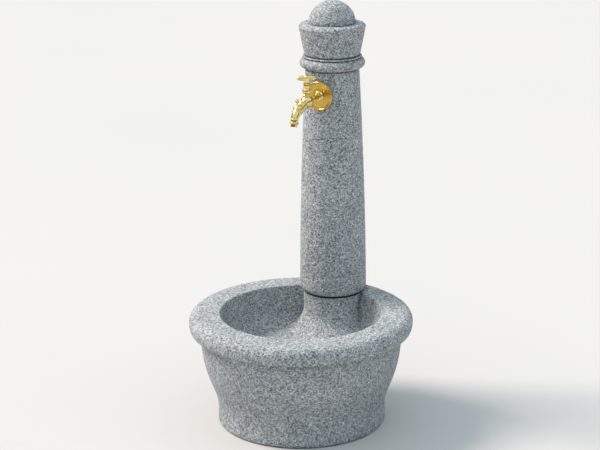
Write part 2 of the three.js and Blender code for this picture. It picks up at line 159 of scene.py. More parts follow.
SPOUT_ROOT_RADIUS = 0.0118
SPOUT_RADIUS = 0.009
SPOUT_RING_LENGTH = 0.005
SPOUT_RING_OVERHANG = 0.001
SPOUT_STRAIGHT = 0.012
SPOUT_BEND_RADIUS = 0.038
SPOUT_BEND_ANGLE = math.radians(63)
NOZZLE_BORE_RADIUS = 0.0062
NOZZLE_BORE_DEPTH = 0.008
NOZZLE_WALL = 0.0022
NOZZLE_LENGTH = 0.012
NOZZLE_COLLAR_RADIUS = 0.0112
NOZZLE_COLLAR_LENGTH = 0.005
NOZZLE_STEP = 0.0004
SPOUT_ORNAMENT = [  # place along the spout and width as shares of its length, and height
    (0.10, 0.020, -0.0010), (0.17, 0.035, 0.0009), (0.24, 0.014, -0.0009), (0.36, 0.085, 0.0024),
    (0.50, 0.016, -0.0010), (0.56, 0.020, 0.0008), (0.88, 0.020, -0.0006),
]
FINIAL_RADIUS = 0.0052
FINIAL_KNOB_HEIGHT = 0.0072
FINIAL_HEIGHT = 0.0185
FINIAL_ANGLE = math.radians(9)
FINIAL_FOOT_EDGE = 0.0004
# foot, two handles and neck of the stem's curve, as shares of the knob's radius and the height
FINIAL_STEM = [(0.8, 0.12), (0.45, 0.2), (0.4, 0.4), (0.5, 0.56)]
HANDLE_ANGLE = math.radians(37)
HANDLE_LENGTH = 0.048
HANDLE_BAR_RADIUS = 0.0063
HANDLE_BAR_FULLNESS = 3.2
HANDLE_HUB_RADIUS = 0.008
HANDLE_HUB_HEIGHT = 0.0165
HANDLE_HUB_EDGE = 0.0008
HANDLE_HUB_WAIST = 0.0018
HANDLE_HUB_TOP_INSET = 0.003
HANDLE_WEB_RADIUS = 0.0052
HANDLE_WEB_HALF_LENGTH = 0.0145
HANDLE_WEB_DROP = 0.0022
SPINDLE_BORE_RADIUS = 0.004
SPINDLE_BORE_DEPTH = 0.011
NUT_CHAMFER = 0.0009
SCREW_SLOT_WIDTH = 0.0009
SCREW_SLOT_LENGTH = 0.010
SCREW_SLOT_DEPTH = 0.0007
OVERCUT = 0.001  # how far a cutter reaches past the surface that it cuts

# fineness of the meshes: the largest spacing of the stones' points, sides of turned brass, and
# the size of what is kept where brass pieces melt into one casting
BASIN_SPACING = 0.0046
COLUMN_SPACING = 0.0026
HEAD_SPACING = 0.0024
BRASS_SEGMENTS = 72
SMALL_BRASS_SEGMENTS = 48
HOLE_SEGMENTS = 20
ROSETTE_SEGMENTS = 128
CASTING_DETAIL = 0.0005

# the stone's worked surface: sizes of its pits, grains and swells, and their shares in its depth
RELIEF_DEPTH = 0.0009
MIDDLE_DEPTH = 0.5  # as a share of the relief
PIT_SIZE = 0.0065
GRAIN_SIZE = 0.55 * PIT_SIZE
SWELL_SIZE = 9 * PIT_SIZE
PIT_SHARE = 0.45
GRAIN_SHARE = 0.34
SWELL_SHARE = 0.2
UNWORKED_HEIGHT = 0.004  # above the ground, where the working fades out


# ---------------------------------------------------------------- outlines, as (radius, height)


def arc(r, z, radius_r, radius_z, start, end, steps=10):
    """Points on a stretch of an ellipse about (r, z), between two angles in degrees."""
    angles = [math.radians(start + (end - start) * i / steps) for i in range(steps + 1)]
    return [(r + radius_r * math.cos(a), z + radius_z * math.sin(a)) for a in angles]


def bezier(a, b, c, d, steps):
    """Points on the cubic curve with ends a and d and handles b and c."""
    points = []
    for i in range(steps + 1):
        t = i / steps
        weights = ((1 - t) ** 3, 3 * t * (1 - t) ** 2, 3 * t * t * (1 - t), t**3)
        points.append(tuple(sum(w * p[k] for w, p in zip(weights, (a, b, c, d))) for k in (0, 1)))
    return points


def rounded(corners, steps=4):
    """A line through corners given as (radius, height, fillet), with the corners rounded off."""
    points = []
    for i, (r, z, fillet) in enumerate(corners):
        here = Vector((r, z))
        if fillet == 0:
            points.append((r, z))
            continue
        back = (Vector(corners[i - 1][:2]) - here).normalized()
        onward = (Vector(corners[i + 1][:2]) - here).normalized()
        half = back.angle(onward) / 2
        centre = here + (back + onward).normalized() * fillet / math.sin(half)
        start = here + back * fillet / math.tan(half) - centre
        end = here + onward * fillet / math.tan(half) - centre
        for k in range(steps + 1):
            spoke = start.lerp(end, k / steps)
            points.append(tuple(centre + spoke.normalized() * fillet))
    return points


def spaced(outline, spacing):
    """The same line with points added, so that none of its sides is longer than spacing."""
    points = [outline[0]]
    for (r0, z0), (r1, z1) in zip(outline, outline[1:]):
        parts = max(1, math.ceil(math.hypot(r1 - r0, z1 - z0) / spacing))
        points += [
            (r0 + (r1 - r0) * k / parts, z0 + (z1 - z0) * k / parts)
            for k in range(1, parts + 1)
        ]
    return points


# ---------------------------------------------------------------- meshes


def add_mesh(name, points, faces, place=Matrix.Identity(4)):
    """A new object with its place in its mesh, as the CAD nodes have."""
    mesh = bpy.data.meshes.new(name)
    mesh.from_pydata(points, [], faces)
    mesh.transform(place)
    mesh.validate()
    piece = bpy.data.objects.new(name, mesh)
    bpy.context.scene.collection.objects.link(piece)
    return piece


def turned(name, outline, segments, place=Matrix.Identity(4)):
    """A solid of revolution about Z. Its outline runs from axis to axis, or closes on itself."""
    closed = outline[0] == outline[-1]
    points, rings, faces = [], [], []
    for r, z in outline[:-1] if closed else outline:
        start = len(points)
        if r < ON_AXIS:
            rings.append([start] * segments)
            points.append((0, 0, z))
            continue
        rings.append(range(start, start + segments))
        turns = [2 * math.pi * k / segments for k in range(segments)]
        points += [(r * math.cos(t), r * math.sin(t), z) for t in turns]
    following = [*rings[1:], rings[0]] if closed else rings[1:]
    for low, high in zip(rings, following):
        for i in range(segments):
            j = (i + 1) % segments
            face = list(dict.fromkeys((low[i], low[j], high[j], high[i])))
            if len(face) > 2:
                faces.append(face)
    return add_mesh(name, points, faces, place)


def cylinder(name, radius, low, high, segments, place):
    """A cylinder along Z, or a prism where its segments are few."""
    return turned(name, [(0, low), (radius, low), (radius, high), (0, high)], segments, place)


def with_modifiers_applied(piece):
    """Makes a piece's modifiers part of its mesh."""
    bpy.context.view_layer.update()
    shown = piece.evaluated_get(bpy.context.evaluated_depsgraph_get())
    final = bpy.data.meshes.new_from_object(shown)
    piece.modifiers.clear()
    piece.data = final
    return piece


def combined(piece, operation, *others):
    """Joins other solids to a piece, or cuts them from it, or keeps what they share."""
    for other in others:
        modifier = piece.modifiers.new("solid", "BOOLEAN")
        modifier.operation = operation
        modifier.solver = "MANIFOLD"
        modifier.object = other
    with_modifiers_applied(piece)
    for other in others:
        bpy.data.objects.remove(other)
    return piece


def cast(piece, passes):
    """Melts the creases between joined solids into small fillets, as in a casting."""
    remesh = piece.modifiers.new("skin", "REMESH")
    remesh.mode = "VOXEL"
    remesh.voxel_size = CASTING_DETAIL
    soften = piece.modifiers.new("fillets", "SMOOTH")
    soften.iterations = passes
    return with_modifiers_applied(piece)


def hammered_depth(p):
    """How far below the dressed surface a point of the stone lies, from 0 to 1."""
    pits = noise.voronoi(p / PIT_SIZE)[0][0]
    grains = noise.noise(p / GRAIN_SIZE)
    swells = noise.noise(p / SWELL_SIZE)
    depth = MIDDLE_DEPTH - PIT_SHARE * (pits - 0.5) + GRAIN_SHARE * grains + SWELL_SHARE * swells
    return min(1.0, max(0.0, depth))


def hammer(piece, depth=RELIEF_DEPTH):
    """Works a stone's surface inwards along its normals, but not where it lies on the ground."""
    mesh = piece.data
    points = np.empty(len(mesh.vertices) * 3, np.float32)
    normals = np.empty_like(points)
    mesh.vertices.foreach_get("co", points)
    mesh.vertices.foreach_get("normal", normals)
    points, normals = points.reshape(-1, 3), normals.reshape(-1, 3)
    depths = np.array([hammered_depth(Vector(p)) for p in points.tolist()])
    off_the_ground = np.clip((points[:, 2] - cad_bounds[0].z) / UNWORKED_HEIGHT, 0, 1)
    points -= normals * (depths * off_the_ground * depth)[:, None]
    mesh.vertices.foreach_set("co", points.ravel())
    mesh.update()


def paint(piece, slot):
    """Gives a piece that slot's material and no other."""
    piece.data.materials.clear()
    piece.data.materials.append(MATERIALS[slot])


def finish_piece(piece, slot, body, node, sharp=35):
    """Shades a piece, paints it, and sets it on its body in place of a CAD node."""
    piece.data.shade_smooth()
    piece.data.set_sharp_from_angle(angle=math.radians(sharp))
    paint(piece, slot)
    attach(piece, body)
    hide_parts(node)


# ---------------------------------------------------------------- materials


def new_material(name):
    """A new material, its node tree and its shader."""
    material = bpy.data.materials.new(name)
    material.use_nodes = True
    return material, material.node_tree, material.node_tree.nodes["Principled BSDF"]


def add_node(tree, kind, inputs, **settings):
    """A node with its settings, and inputs that are numbers or other nodes' outputs."""
    node = tree.nodes.new(kind)
    for name, value in settings.items():
        setattr(node, name, value)
    for name, value in inputs.items():
        if isinstance(value, bpy.types.NodeSocket):
            tree.links.new(value, node.inputs[name])
        else:
            node.inputs[name].default_value = value
    return node


def ramp(tree, factor, stops):
    """A colour ramp with stops given as (place, colour)."""
    node = add_node(tree, "ShaderNodeValToRGB", {"Fac": factor})
    elements = node.color_ramp.elements
    for _ in stops[2:]:
        elements.new(0.5)
    for element, (place, colour) in zip(elements, stops):
        element.position = place
        element.color = (*colour, 1)
    return node.outputs["Color"]


def place_on_object(tree):
    """Where the shaded point lies, in metres in its object's own frame."""
    return add_node(tree, "ShaderNodeTexCoord", {}).outputs["Object"]


def noise_at(tree, place, scale, detail, output="Fac"):
    """Noise with that many features a metre, about 0.5."""
    inputs = {"Vector": place, "Scale": scale, "Detail": detail}
    return add_node(tree, "ShaderNodeTexNoise", inputs).outputs[output]


def vector_maths(tree, operation, inputs):
    """The result of one operation on vectors, with inputs by name or number."""
    node = add_node(tree, "ShaderNodeVectorMath", inputs, operation=operation)
    return node.outputs["Vector"]


def ragged(tree, place, size, reach):
    """The place shifted about by noise of that size, which makes the edges of grains irregular."""
    shift = noise_at(tree, place, 1 / size, 1, output="Color")
    centred = vector_maths(tree, "SUBTRACT", {0: shift, 1: (0.5, 0.5, 0.5)})
    moved = vector_maths(tree, "SCALE", {"Vector": centred, "Scale": reach})
    return vector_maths(tree, "ADD", {0: place, 1: moved})


def random_of_cells(tree, place, size):
    """One random number for each grain of a pattern of grains of about that size."""
    cells = add_node(tree, "ShaderNodeTexVoronoi", {"Vector": place, "Scale": 1 / size})
    parts = add_node(tree, "ShaderNodeSeparateColor", {"Color": cells.outputs["Color"]})
    return parts.outputs["Red"]


def mixed(tree, factor, a, b):
    """Two numbers mixed."""
    node = add_node(tree, "ShaderNodeMix", {"Factor": factor, "A": a, "B": b}, data_type="FLOAT")
    return node.outputs["Result"]


def darkened_by_painted_shade_and_grime(tree, colour, reach, least):
    """The colour, darkened by painted shade and some grime in creases narrower than about reach,
    down to a least share.
    """
    shut, clear = 0.1, 0.7
    openness = add_node(tree, "ShaderNodeAmbientOcclusion", {"Distance": reach}, samples=8)
    shade = add_node(tree, "ShaderNodeMapRange", {
        "Value": openness.outputs["AO"], "From Min": shut, "From Max": clear, "To Min": least,
    })
    return vector_maths(tree, "SCALE", {"Vector": colour, "Scale": shade.outputs["Result"]})


def roughen(tree, shader, factor, smoothest, roughest, least=0, most=1):
    """Lets the roughness follow a factor as it goes from its least to its most."""
    roughness = add_node(tree, "ShaderNodeMapRange", {
        "Value": factor, "From Min": least, "From Max": most,
        "To Min": smoothest, "To Max": roughest,
    })
    tree.links.new(roughness.outputs["Result"], shader.inputs["Roughness"])


def bump(tree, shader, height, strength, distance):
    """Fine relief in the shading, by a height between 0 and 1."""
    node = add_node(tree, "ShaderNodeBump", {
        "Height": height, "Strength": strength, "Distance": distance,
    })
    tree.links.new(node.outputs["Normal"], shader.inputs["Normal"])


def make_stone():
    """Granite: a grey ground with dark and light grains, and a sandblasted skin."""
    fine_share = 0.45
    cloud_share = 0.14
    material, tree, shader = new_material("stone")
    place = ragged(tree, place_on_object(tree), size=0.0009, reach=0.0018)
    coarse = random_of_cells(tree, place, size=0.0028)
    fine = random_of_cells(tree, place, size=0.0017)
    grains = mixed(tree, fine_share, coarse, fine)
    clouds = noise_at(tree, place, scale=16, detail=3)
    tone = mixed(tree, cloud_share, grains, clouds)
    colour = ramp(tree, tone, [
        (0.16, (0.035, 0.043, 0.054)),
        (0.36, (0.215, 0.242, 0.268)),
        (0.54, (0.345, 0.376, 0.400)),
        (0.72, (0.510, 0.530, 0.542)),
        (0.88, (0.780, 0.790, 0.790)),
    ])
    # painted shade: ambient occlusion darkens the joints, creases and the bowl under the lip, as
    # shade with some grime
    grime_and_painted_shade = darkened_by_painted_shade_and_grime(tree, colour, reach=0.022, least=0.3)
    tree.links.new(grime_and_painted_shade, shader.inputs["Base Color"])
    roughen(tree, shader, fine, smoothest=0.72, roughest=0.94)
    shader.inputs["Specular IOR Level"].default_value = 0.3
    skin = noise_at(tree, place, scale=330, detail=3)
    bump(tree, shader, mixed(tree, 0.5, skin, grains), strength=0.6, distance=0.0012)
    return material


def make_mortar():
    """Dark jointing with a sandy skin."""
    material, tree, shader = new_material("mortar")
    sand = noise_at(tree, place_on_object(tree), scale=700, detail=4)
    colour = ramp(tree, sand, [(0.3, (0.030, 0.034, 0.038)), (0.75, (0.100, 0.108, 0.115))])
    tree.links.new(colour, shader.inputs["Base Color"])
    shader.inputs["Roughness"].default_value = 0.95
    bump(tree, shader, sand, strength=0.5, distance=0.0006)
    return material


def make_brass(name, clean, dulled, smoothest, roughest, waviness):
    """Brass whose polish and colour vary with handling and weather, over a faintly wavy surface."""
    material, tree, shader = new_material(name)
    place = place_on_object(tree)
    patches = noise_at(tree, place, scale=95, detail=4)
    colour = ramp(tree, patches, [(0.38, clean), (0.78, dulled)])
    # painted shade: ambient occlusion darkens the brass in its hollows, as shade and tarnish
    tarnish_and_painted_shade = darkened_by_painted_shade_and_grime(tree, colour, reach=0.005, least=0.12)
    tree.links.new(tarnish_and_painted_shade, shader.inputs["Base Color"])
    rubbed = noise_at(tree, place, scale=420, detail=3)
    roughen(tree, shader, rubbed, smoothest, roughest, least=0.3, most=0.7)
    shader.inputs["Metallic"].default_value = 1
    waves = noise_at(tree, place, scale=150, detail=2)
    bump(tree, shader, waves, waviness, distance=0.0008)
    return material


MATERIALS = {
    "stone": make_stone(),
    "mortar": make_mortar(),
    "brass": make_brass("brass", clean=(0.84, 0.66, 0.28), dulled=(0.62, 0.45, 0.14),
                        smoothest=0.06, roughest=0.17, waviness=0.10),
    "satin_brass": make_brass("satin_brass", clean=(0.68, 0.45, 0.10), dulled=(0.52, 0.33, 0.065),
                              smoothest=0.20, roughest=0.34, waviness=0.12),
}

# ---------------------------------------------------------------- basin


def bowl_outline(low, high):
    """Foot, side, lip, cavity and the bore of the drain, closed on itself."""
    rim = (high.x - low.x) / 2
    top = high.z
    lip = top - LIP_HEIGHT
    side = lip - FOOT_HEIGHT
    floor = top - CAVITY_DEPTH
    waist = lip + LIP_UNDER_RISE
    wall = MOUTH_RADIUS - CAVITY_DRAFT - CAVITY_FILLET
    seat_low, seat_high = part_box("drain_flange")
    seat = (seat_high.x - seat_low.x) / 2 + CLEARANCE
    outline = [
        (DRAIN_BORE_RADIUS, low.z),
        *arc(FOOT_RADIUS - FOOT_EDGE, FOOT_EDGE, FOOT_EDGE, FOOT_EDGE, -90, 0, 4),
        *bezier((FOOT_RADIUS, FOOT_HEIGHT), (FOOT_RADIUS, FOOT_HEIGHT + BOWL_FOOT_SWEEP * side),
                (BOWL_RADIUS, lip - BOWL_RIM_SWEEP * side), (BOWL_RADIUS, lip), 48),
        *arc(rim - LIP_UNDER_EDGE, waist, LIP_UNDER_EDGE, LIP_UNDER_RISE, -90, 0, 7),
        *arc(rim - LIP_TOP_ROUNDING, waist, LIP_TOP_ROUNDING, top - waist, 0, 90, 10)[1:],
        *arc(MOUTH_RADIUS + MOUTH_EDGE, top - MOUTH_EDGE, MOUTH_EDGE, MOUTH_EDGE, 90, 180, 5),
        *arc(wall, floor + CAVITY_FILLET, CAVITY_FILLET, CAVITY_FILLET, 0, -90, 18),
        (seat, floor),
        (seat, floor - DRAIN_SEAT_DEPTH),
        (DRAIN_BORE_RADIUS, floor - DRAIN_SEAT_DEPTH),
        (DRAIN_BORE_RADIUS, low.z),
    ]
    return spaced(outline, BASIN_SPACING)


def stub_outline(top, floor):
    """The stub under the column, with its concave sweep to the cavity's floor."""
    root = floor - STUB_ROOT
    flare = STUB_RADIUS + STUB_FLARE
    return spaced([
        (0, root),
        (flare, root),
        *arc(flare, floor + STUB_FLARE - STUB_SINK, STUB_FLARE, STUB_FLARE, 270, 180, 18),
        (STUB_RADIUS, top),
        (0, top),
    ], BASIN_SPACING)


def make_basin():
    """The bowl and the stub, which is cut off inside the bowl's wall and short of the drain."""
    low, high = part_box("basin")
    column_y = sum(corner.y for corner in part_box("column_shaft")) / 2
    column_axis = Matrix.Translation((0, column_y, 0))
    floor = high.z - CAVITY_DEPTH
    segments = round(2 * math.pi * high.x / BASIN_SPACING)
    basin = turned("basin_stone", bowl_outline(low, high), segments)
    stub = turned("stub", stub_outline(high.z, floor), STUB_SEGMENTS, column_axis)
    middle_of_wall = (MOUTH_RADIUS + BOWL_RADIUS) / 2
    limit = turned("limit", [
        (STUB_LIMIT_RADIUS, 0), (middle_of_wall, 0), (middle_of_wall, high.z),
        (STUB_LIMIT_RADIUS, high.z), (STUB_LIMIT_RADIUS, 0),
    ], STUB_LIMIT_SEGMENTS)
    combined(basin, "UNION", combined(stub, "INTERSECT", limit))
    hammer(basin)
    finish_piece(basin, "stone", "fountain", "basin")


# ---------------------------------------------------------------- column and head


def shaft_outline(low, high):
    """A rounded foot, a tapering side and a rounded top edge."""
    foot = (high.x - low.x) / 2
    shoulder = low.z + SHAFT_FOOT_RISE
    taper_start = low.z + SHAFT_STRAIGHT
    outline = [
        (0, low.z),
        *arc(foot - SHAFT_FOOT_INSET, shoulder, SHAFT_FOOT_INSET, SHAFT_FOOT_RISE, -90, 0, 10),
    ]
    steps = 40
    edge = SHAFT_TOP_EDGE
    taper_height = high.z - edge - taper_start
    for i in range(steps):
        t = i / steps
        radius = foot - (foot - SHAFT_TOP_RADIUS) * t**SHAFT_TAPER_POWER
        outline.append((radius, taper_start + taper_height * t))
    top_edge = arc(SHAFT_TOP_RADIUS - edge, high.z - edge, edge, edge, 0, 90, 5)
    return [*outline, *top_edge, (0, high.z)]


def collar_outline(low, high):
    """A half-round bead around a core a little wider than the shaft's top."""
    bead = (high.z - low.z) / 2
    core = SHAFT_TOP_RADIUS + COLLAR_OVERHANG
    return [(0, low.z), *arc(core, low.z + bead, bead, bead, -90, 90, 16), (0, high.z)]


def neck_outline(low, high):
    """A disc with a half-round edge."""
    bead = (high.z - low.z) / 2
    return [(0, low.z), *arc(high.x - bead, low.z + bead, bead, bead, -90, 90, 8), (0, high.z)]


def capital_outline(low, high):
    """A drum that flares upwards from a groove to a rounded shoulder."""
    groove = CAPITAL_FOOT_RADIUS - QUIRK_INSET
    foot = low.z + QUIRK_HEIGHT
    rounding = CAPITAL_ROUNDING
    return [
        *rounded([
            (0, low.z, 0),
            (groove, low.z, 0),
            (groove, foot, 0),
            (CAPITAL_FOOT_RADIUS, foot, CAPITAL_FOOT_EDGE),
            (high.x - CAPITAL_FLARE_INSET, high.z - rounding, 0),
        ]),
        *arc(high.x - rounding, high.z - rounding, rounding, rounding, 6, 90, 9),
        (0, high.z),
    ]


def dome_outline(low, high):
    """Half an ellipse."""
    return [(0, low.z), *arc(0, low.z, high.x, high.z - low.z, 0, 90, 40)[:-1], (0, high.z)]


def make_column_stone(node, outline_of, spacing):
    """One turned stone on the column's axis, with its surface worked."""
    low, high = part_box(node)
    axis = Matrix.Translation((0, (low.y + high.y) / 2, 0))
    segments = round(2 * math.pi * high.x / spacing)
    piece = turned(node + "_stone", spaced(outline_of(low, high), spacing), segments, axis)
    hammer(piece)
    finish_piece(piece, "stone", "fountain", node)


def make_setting_bed():
    """The dark bed in the joint, raked out a little unevenly."""
    low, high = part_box("setting_bed")
    axis = Matrix.Translation((0, (low.y + high.y) / 2, 0))
    outline = rounded([
        (0, low.z, 0), (high.x, low.z, BED_EDGE), (high.x, high.z, BED_EDGE), (0, high.z, 0),
    ])
    bed = turned("setting_bed_mortar", spaced(outline, BED_SPACING), BED_SEGMENTS, axis)
    hammer(bed, BED_RELIEF)
    finish_piece(bed, "mortar", "fountain", "setting_bed")


# ---------------------------------------------------------------- drain

drain_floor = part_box("drain_flange")[1].z - DRAIN_RIM_HEIGHT
drain_tail_radius = DRAIN_BORE_RADIUS - CLEARANCE
drain_hole_radius = drain_tail_radius - DRAIN_TAIL_WALL
strainer_radius = drain_hole_radius + STRAINER_LEDGE


def make_drain_flange():
    """A flange let into the floor, with its tail in the bore and a ledge for the strainer."""
    low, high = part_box("drain_flange")
    underside = drain_floor - DRAIN_SEAT_DEPTH + CLEARANCE
    ledge = drain_floor - STRAINER_THICKNESS - CLEARANCE
    recess = strainer_radius + CLEARANCE
    flange = turned("drain_flange_brass", rounded([
        (drain_hole_radius, low.z, 0),
        (drain_tail_radius, low.z, 0.0004),
        (drain_tail_radius, underside, 0),
        (high.x, underside, 0),
        (high.x, drain_floor + DRAIN_RIM_EDGE_HEIGHT, 0.0006),
        (high.x - DRAIN_RIM_SLOPE, high.z, 0.001),
        (recess, high.z, 0.0003),
        (recess, ledge, 0),
        (drain_hole_radius, ledge, 0.0003),
        (drain_hole_radius, low.z, 0),
    ]), BRASS_SEGMENTS)
    finish_piece(flange, "satin_brass", "fountain", "drain_flange")


def make_drain_strainer():
    """A plate with holes in a honeycomb pattern."""
    underside = drain_floor - STRAINER_THICKNESS
    strainer = turned("drain_strainer_brass", rounded([
        (0, underside, 0), (strainer_radius, underside, 0),
        (strainer_radius, drain_floor, 0.0004), (0, drain_floor, 0),
    ]), BRASS_SEGMENTS)
    drills = []
    for row in range(-STRAINER_OUTER_ROW, STRAINER_OUTER_ROW + 1):
        holes = 2 * STRAINER_OUTER_ROW + 1 - abs(row)
        y = row * STRAINER_PITCH * math.sin(math.pi / 3)
        for i in range(holes):
            x = (i - (holes - 1) / 2) * STRAINER_PITCH
            drills.append(cylinder("hole", STRAINER_HOLE_RADIUS, -STRAINER_DRILL_DEPTH, OVERCUT,
                                   HOLE_SEGMENTS, Matrix.Translation((x, y, drain_floor))))
    combined(strainer, "DIFFERENCE", *drills)
    finish_piece(strainer, "satin_brass", "fountain", "drain_strainer")


# ---------------------------------------------------------------- tap, along its inlet

spindle_y = sum(corner.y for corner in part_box("tap_spindle")) / 2
inlet_height = sum(corner.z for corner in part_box("tap_inlet_pipe")) / 2

# In the inlet's frame +Z runs out to the front, from the plane y = 0, and +Y is up.
inlet_frame = Matrix.Translation((0, 0, inlet_height)) @ Matrix.Rotation(math.pi / 2, 4, "X")
spindle_frame = Matrix.Translation((0, spindle_y, 0))
body_frame = Matrix.Translation((0, spindle_y, inlet_height))
# In the spout's frame +Z follows the sloping neck, out of the middle of the globe.
spout_frame = body_frame @ Matrix.Rotation(math.pi / 2 + SPOUT_TILT, 4, "X")


def along_inlet(node):
    """Start and end of a node on the inlet's axis, and its radius across."""
    low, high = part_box(node)
    return -high.y, -low.y, (high.x - low.x) / 2


def ring_outline(start, end, radius):
    """A disc with a half-round edge between two places along its axis."""
    edge = (end - start) / 2
    return [(0, start), *arc(radius - edge, start + edge, edge, edge, -90, 90, 10), (0, end)]


def make_rosette():
    """A plate with a rolled edge, dished around a low step and a flat pad."""
    start, _, radius = along_inlet("tap_rosette")
    face = start + ROSETTE_THICKNESS
    roll_depth = 0.0001
    dish_inset, dish_depth = ROSETTE_DISH
    step_radius, step_depth = ROSETTE_STEP
    rosette = turned("tap_rosette_brass", [
        (0, start),
        *arc(radius - ROSETTE_EDGE, start + ROSETTE_EDGE, ROSETTE_EDGE, ROSETTE_EDGE, -90, 140, 14),
        *rounded([
            (radius - 2 * ROSETTE_EDGE, face - roll_depth, 0),
            (radius - dish_inset, face - dish_depth, 0.0012),
            (step_radius, face - step_depth, 0.002),
            (ROSETTE_PAD_RADIUS, face, 0.0004),
            (0, face, 0),
        ]),
    ], ROSETTE_SEGMENTS, inlet_frame)
    finish_piece(rosette, "satin_brass", "fountain", "tap_rosette")


def make_wall_boss():
    """A low boss with a flange, from which the pipe comes."""
    start, end, radius = along_inlet("tap_wall_boss")
    step_inset, step_height = BOSS_STEP
    boss = turned("tap_wall_boss_brass", rounded([
        (0, start, 0),
        (radius, start, 0.0004),
        (radius, start + BOSS_FLANGE_HEIGHT, 0.0003),
        (radius - step_inset, start + step_height, 0.0002),
        (radius - BOSS_TOP_INSET, end, 0.0014),
        (0, end, 0),
    ]), BRASS_SEGMENTS, inlet_frame)
    finish_piece(boss, "brass", "fountain", "tap_wall_boss")


def make_inlet_pipe():
    """A pipe that flares towards the wall boss."""
    start, end, flare = along_inlet("tap_inlet_pipe")
    flare_inset, flare_height = INLET_FLARE
    extra_radius, flare_end = INLET_FLARE_END
    pipe = turned("tap_inlet_pipe_brass", [
        (0, start),
        (flare, start),
        (flare - flare_inset, start + flare_height),
        (INLET_RADIUS + extra_radius, start + flare_end),
        (INLET_RADIUS, end),
        (0, end),
    ], BRASS_SEGMENTS, inlet_frame)
    finish_piece(pipe, "brass", "fountain", "tap_inlet_pipe")


def make_inlet_ring():
    """The ring between the pipe and the globe's back neck."""
    outline = ring_outline(*along_inlet("tap_inlet_ring"))
    ring = turned("tap_inlet_ring_brass", outline, BRASS_SEGMENTS, inlet_frame)
    finish_piece(ring, "brass", "fountain", "tap_inlet_ring")


def make_body():
    """One casting: a globe about the spindle, with a neck to either side and a seat on top."""
    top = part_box("tap_body")[1].z - inlet_height
    globe = turned("tap_body_brass", [
        (0, -BODY_RADIUS - BODY_BUTTON_TIP),
        (BODY_BUTTON_RADIUS, -BODY_RADIUS - BODY_BUTTON_EDGE),
        *arc(0, 0, BODY_RADIUS, BODY_RADIUS, -72, 50, 26),
        (BONNET_FOOT_RADIUS, top - BODY_SEAT_HEIGHT),
        (BONNET_FOOT_RADIUS, top),
        (0, top),
    ], BRASS_SEGMENTS, body_frame)
    neck = rounded([
        (0, 0, 0), (SOCKET_RADIUS, 0, 0), (SOCKET_RADIUS, SOCKET_LENGTH, 0.0005),
        (0, SOCKET_LENGTH, 0),
    ])
    to_the_back = body_frame @ Matrix.Rotation(-math.pi / 2, 4, "X")
    back = turned("neck", neck, BRASS_SEGMENTS, to_the_back)
    front = turned("neck", neck, BRASS_SEGMENTS, spout_frame)
    combined(globe, "UNION", back, front)
    cast(globe, passes=5)
    finish_piece(globe, "brass", "fountain", "tap_body", sharp=50)


# ---------------------------------------------------------------- spout

spout_ring_start = SOCKET_LENGTH + CLEARANCE
spout_start = spout_ring_start + SPOUT_RING_LENGTH + CLEARANCE
bend_start = spout_start + SPOUT_STRAIGHT
spout_length = SPOUT_STRAIGHT + SPOUT_BEND_RADIUS * SPOUT_BEND_ANGLE


def bend(piece):
    """Carries a straight solid that stands on z = 0 to the spout's place and bends it down."""
    for vertex in piece.data.vertices:
        x, y, z = vertex.co
        onward = z - SPOUT_STRAIGHT
        angle = max(0.0, onward) / SPOUT_BEND_RADIUS
        out = SPOUT_BEND_RADIUS + y
        bent_y = out * math.cos(angle) - SPOUT_BEND_RADIUS
        bent_z = bend_start + min(0.0, onward) + out * math.sin(angle)
        vertex.co = (x, bent_y, bent_z)
    piece.data.transform(spout_frame)
    return piece


def round_the_bend(angle, radius):
    """A place that stands off the bend's centre by an angle and a radius."""
    spot = Matrix.Translation((0, radius * math.cos(angle) - SPOUT_BEND_RADIUS,
                               bend_start + radius * math.sin(angle)))
    return spout_frame @ spot @ Matrix.Rotation(angle, 4, "X")


def spout_radius_at(t):
    """Tapers from root to lower end, with cast swellings between fine grooves."""
    radius = SPOUT_ROOT_RADIUS + (SPOUT_RADIUS - SPOUT_ROOT_RADIUS) * t
    for place, width, height in SPOUT_ORNAMENT:
        radius += height * math.exp(-((t - place) / width) ** 2)
    return radius


def make_spout_ring():
    """The ring between the globe's front neck and the spout."""
    ring_end = spout_ring_start + SPOUT_RING_LENGTH
    outline = ring_outline(spout_ring_start, ring_end, SPOUT_ROOT_RADIUS + SPOUT_RING_OVERHANG)
    ring = turned("tap_spout_ring_brass", outline, BRASS_SEGMENTS, spout_frame)
    finish_piece(ring, "brass", "fountain", "tap_spout_ring")


def make_spout():
    """Turned straight with its ornament, and then bent down."""
    steps = 160
    side = [(spout_radius_at(i / steps), spout_length * i / steps) for i in range(steps + 1)]
    outline = [(0, 0), *side, (0, spout_length)]
    spout = bend(turned("tap_spout_brass", outline, BRASS_SEGMENTS))
    finish_piece(spout, "brass", "fountain", "tap_spout")


def make_nozzle():
    """A collar with a half-round edge, and a short tube that is bored from its mouth."""
    radius = NOZZLE_BORE_RADIUS + NOZZLE_WALL
    mouth = CLEARANCE + NOZZLE_LENGTH
    bore_end = mouth - NOZZLE_BORE_DEPTH
    collar_end = CLEARANCE + NOZZLE_COLLAR_LENGTH
    edge = NOZZLE_COLLAR_LENGTH / 2
    nozzle = turned("tap_nozzle_brass", [
        (0, CLEARANCE),
        *arc(NOZZLE_COLLAR_RADIUS - edge, CLEARANCE + edge, edge, edge, -90, 90, 10),
        *rounded([
            (NOZZLE_COLLAR_RADIUS - edge, collar_end, 0),
            (radius, collar_end + NOZZLE_STEP, 0.0003),
            (radius, mouth, 0.0006),
            (NOZZLE_BORE_RADIUS, mouth, 0.0005),
            (NOZZLE_BORE_RADIUS, bore_end, 0.001),
            (0, bore_end, 0),
        ])[1:],
    ], BRASS_SEGMENTS, round_the_bend(SPOUT_BEND_ANGLE, SPOUT_BEND_RADIUS))
    finish_piece(nozzle, "brass", "fountain", "tap_nozzle")


